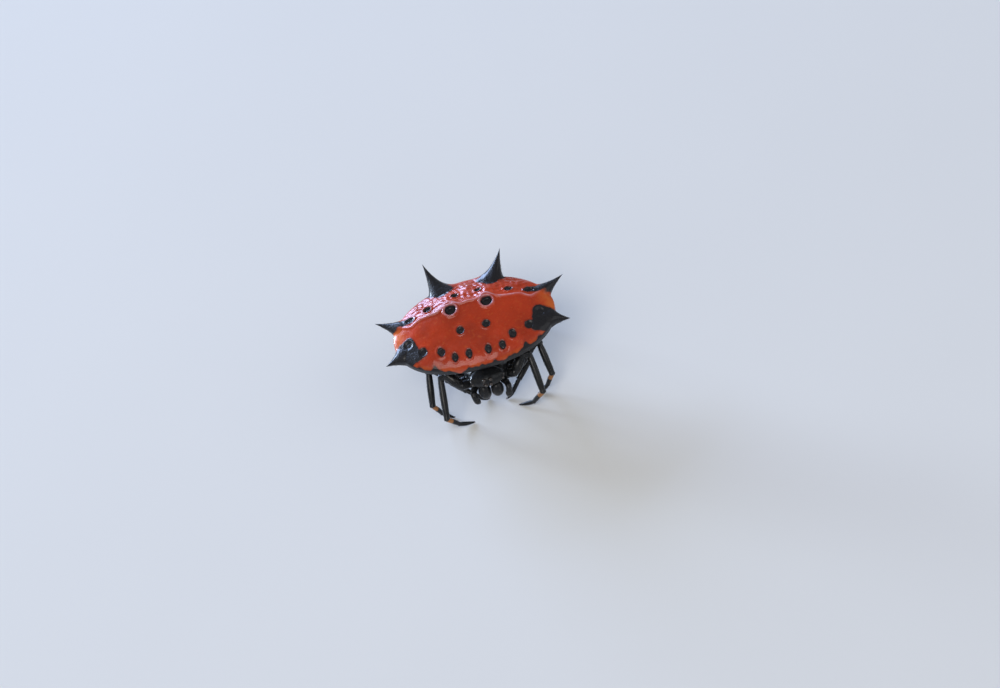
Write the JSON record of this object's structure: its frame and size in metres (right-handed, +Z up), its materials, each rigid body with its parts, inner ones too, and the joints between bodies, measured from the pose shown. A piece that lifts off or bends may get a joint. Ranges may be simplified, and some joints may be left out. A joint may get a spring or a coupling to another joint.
{
  "type": "spiny orb weaver",
  "caption": "Life-size still model of a spiny orb weaver: a broad red-orange shield with conical black spines over a small dark front body, on tucked jointed legs.",
  "frame": {"origin": "on the floor under the centre of the box round the whole animal, which stands on the floor", "axes": "+Z up; the animal faces -Y; +X is to its own left, along the longest width across the side spines"},
  "size_m": [0.013, 0.0094, 0.0067],
  "materials": {
    "shield_shell": "glossy red-orange shell with black spines and black pits",
    "black_shell": "satin black shell",
    "leg_shell": "brown-black leg shell with tan bands at the foot joints"
  },
  "bodies": {
    "root": {"abdomen": "shield_shell", "spinnerets": "black_shell", "cephalothorax": "black_shell", "chelicera_left": "black_shell", "chelicera_right": "black_shell", "palp_left": "leg_shell", "palp_right": "leg_shell", "leg_1_left": "leg_shell", "leg_1_right": "leg_shell", "leg_2_left": "leg_shell", "leg_2_right": "leg_shell", "leg_3_left": "leg_shell", "leg_3_right": "leg_shell", "leg_4_left": "leg_shell", "leg_4_right": "leg_shell"}
  },
  "joints": []
}
